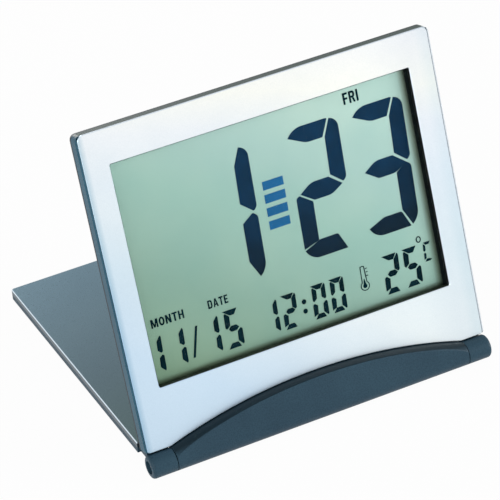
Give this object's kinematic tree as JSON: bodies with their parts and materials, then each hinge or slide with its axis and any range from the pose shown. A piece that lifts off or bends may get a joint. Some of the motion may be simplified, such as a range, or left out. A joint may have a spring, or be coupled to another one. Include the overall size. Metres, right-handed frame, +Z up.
{
  "type": "folding travel alarm clock",
  "caption": "Slim alarm clock with a wide digital display in a satin metal face; its lid swings round an end hinge to lie behind it as a stand, or closes over the face.",
  "frame": {"origin": "on the table, under the middle of the standing clock's box", "axes": "+Z up, +X to the right along the hinge as the face is read, +Y from the face towards the lid's rear edge"},
  "size_m": [0.1314, 0.1218, 0.1157],
  "materials": {
    "face_metal": "fine satin, clear anodised",
    "lid_metal": "fine satin, clear anodised",
    "frame_plastic": "fine spark texture",
    "cover_plastic": "fine spark texture",
    "lid_plastic": "fine spark texture",
    "key_plastic": "satin",
    "lens_clear": "polished",
    "display_glass": "polished",
    "reflector": "pale green, matt",
    "foam": "matt foam",
    "rubber": "matt",
    "board": "solder mask",
    "resin": "cast resin",
    "steel": "zinc plated",
    "brass": "rolled sheet",
    "ceramic": "silvered",
    "acetal": "natural"
  },
  "bodies": {
    "clock_case": {"face_plate": "face_metal", "front_frame": "frame_plastic", "rear_cover": "cover_plastic", "case_screws": "steel", "display_lens": "lens_clear", "lcd_front_glass": "display_glass", "lcd_rear_glass": "display_glass", "lcd_reflector": "reflector", "lcd_foam": "foam", "connector_strip": "rubber", "circuit_board": "board", "board_screws": "steel", "chip_cover": "resin", "crystal": "steel", "temperature_sensor": "resin", "small_chips": "resin", "coin_cell": "steel", "battery_leaf_minus": "steel", "battery_clip_plus": "steel", "keypad": "rubber", "switch_housing": "steel", "buzzer_disc": "brass", "buzzer_ceramic": "ceramic", "buzzer_contacts": "steel", "hinge_spine": "frame_plastic", "spine_screws": "steel", "hinge_bushes": "acetal"},
    "lid": {"lid_plate": "lid_metal", "lid_base": "lid_plastic", "hinge_pins": "steel", "lid_pads": "rubber"},
    "battery_door": {"battery_door": "cover_plastic"},
    "alarm_switch": {"alarm_switch": "key_plastic"},
    "mode_button": {"mode_button": "key_plastic"},
    "set_button": {"set_button": "key_plastic"},
    "snooze_button": {"snooze_button": "key_plastic"},
    "down_button": {"down_button": "key_plastic"},
    "up_button": {"up_button": "key_plastic"}
  },
  "joints": [
    {"name": "lid_hinge", "type": "hinge", "parent": "clock_case", "child": "lid", "pos_m": [0, -0.05675, 0.0042], "axis": [-1, 0, 0], "range_deg": [0, 286.3]},
    {"name": "battery_door_turn", "type": "hinge", "parent": "clock_case", "child": "battery_door", "pos_m": [0.0259, -0.03135, 0.05081], "axis": [0, 0.9477, -0.3191], "range_deg": [0, 45]},
    {"name": "alarm_switch_slide", "type": "slide", "parent": "clock_case", "child": "alarm_switch", "axis": [1, 0, 0], "range_m": [0, 0.002]},
    {"name": "mode_press", "type": "slide", "parent": "clock_case", "child": "mode_button", "axis": [0, -0.9477, 0.3191], "range_m": [0, 0.0004], "stiffness_N_per_m": 600},
    {"name": "set_press", "type": "slide", "parent": "clock_case", "child": "set_button", "axis": [0, -0.9477, 0.3191], "range_m": [0, 0.0004], "stiffness_N_per_m": 600},
    {"name": "snooze_press", "type": "slide", "parent": "clock_case", "child": "snooze_button", "axis": [0, -0.9477, 0.3191], "range_m": [0, 0.0004], "stiffness_N_per_m": 600},
    {"name": "down_press", "type": "slide", "parent": "clock_case", "child": "down_button", "axis": [0, -0.9477, 0.3191], "range_m": [0, 0.0004], "stiffness_N_per_m": 600},
    {"name": "up_press", "type": "slide", "parent": "clock_case", "child": "up_button", "axis": [0, -0.9477, 0.3191], "range_m": [0, 0.0004], "stiffness_N_per_m": 600}
  ]
}
